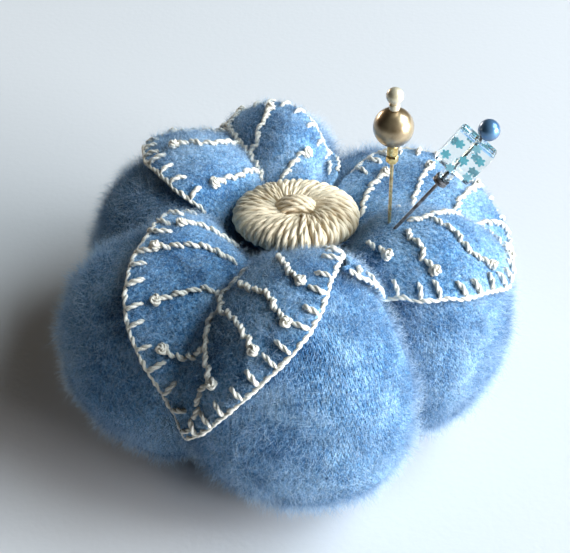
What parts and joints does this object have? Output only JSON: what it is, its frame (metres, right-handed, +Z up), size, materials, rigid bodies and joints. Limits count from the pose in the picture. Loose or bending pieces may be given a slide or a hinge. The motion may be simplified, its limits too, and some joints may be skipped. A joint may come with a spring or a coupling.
{
  "type": "pin cushion",
  "caption": "Flower-shaped felted wool pin cushion with embroidered leaves, a thread-wrapped button in the middle and beaded pins that pull out.",
  "frame": {"origin": "on the resting plane, under the middle of the bounding box; the upright line that the ties follow stands at x 0, y 2 mm", "axes": "+Z up along the ties; -Y towards the segment that carries the front leaf, +X towards the leaf with the pins"},
  "size_m": [0.0939, 0.0978, 0.0792],
  "materials": {
    "felted_wool": "soft fulled lambswool knit with a raised nap",
    "stuffing": "packed fibre filling",
    "blue_thread": "strong cotton thread pulled tight",
    "cream_thread": "twisted pearl cotton with a soft lustre",
    "button_mould": "plain turned wood, hidden by the thread",
    "gilt_wire": "drawn and plated",
    "gilt_bead": "polished",
    "bronze_pearl": "pearl lacquer, high gloss",
    "cream_pearl": "pearl lacquer, gloss",
    "steel_wire": "bright drawn steel",
    "dark_bead": "dark plated crimp",
    "clear_glass": "polished clear glass",
    "printed_glass": "clear square bead with small turquoise flowers",
    "blue_pearl": "pearl lacquer, gloss"
  },
  "bodies": {
    "cushion": {"cushion_cover": "felted_wool", "stuffing": "stuffing", "segment_ties": "blue_thread", "centre_tie": "cream_thread", "base_knot": "blue_thread", "button_mould": "button_mould", "button_wrap": "cream_thread", "button_bar": "cream_thread", "front_leaf": "felted_wool", "front_leaf_edging": "cream_thread", "front_leaf_veins": "cream_thread", "front_leaf_knots": "cream_thread", "back_leaf": "felted_wool", "back_leaf_edging": "cream_thread", "back_leaf_veins": "cream_thread", "back_leaf_knots": "cream_thread", "right_leaf": "felted_wool", "right_leaf_edging": "cream_thread", "right_leaf_veins": "cream_thread", "right_leaf_knots": "cream_thread"},
    "pearl_pin": {"pearl_pin_shaft": "gilt_wire", "pearl_pin_crimp": "gilt_bead", "pearl_pin_spacer": "gilt_bead", "pearl_pin_collar": "cream_pearl", "pearl_pin_cap": "cream_pearl"},
    "large_pearl": {"pearl_pin_pearl": "bronze_pearl"},
    "tile_pin": {"tile_pin_shaft": "steel_wire", "tile_pin_crimp": "dark_bead", "tile_pin_seed_bead": "clear_glass", "tile_pin_cap": "blue_pearl"},
    "tile_bead": {"tile_pin_tile": "printed_glass"}
  },
  "joints": [
    {"name": "pearl_pin_slide", "type": "slide", "parent": "cushion", "child": "pearl_pin", "axis": [-0.0227, 0, 0.9997], "range_m": [-0.01, 0.024]},
    {"name": "large_pearl_spin", "type": "hinge", "parent": "pearl_pin", "child": "large_pearl", "pos_m": [0.0174, -0.0063, 0.07094], "axis": [-0.0227, 0, 0.9997], "continuous": true},
    {"name": "tile_pin_slide", "type": "slide", "parent": "cushion", "child": "tile_pin", "axis": [0.5563, 0, 0.831], "range_m": [-0.006, 0.026]},
    {"name": "tile_bead_spin", "type": "hinge", "parent": "tile_pin", "child": "tile_bead", "pos_m": [0.0307, -0.0082, 0.06618], "axis": [0.5563, 0, 0.831], "continuous": true}
  ]
}
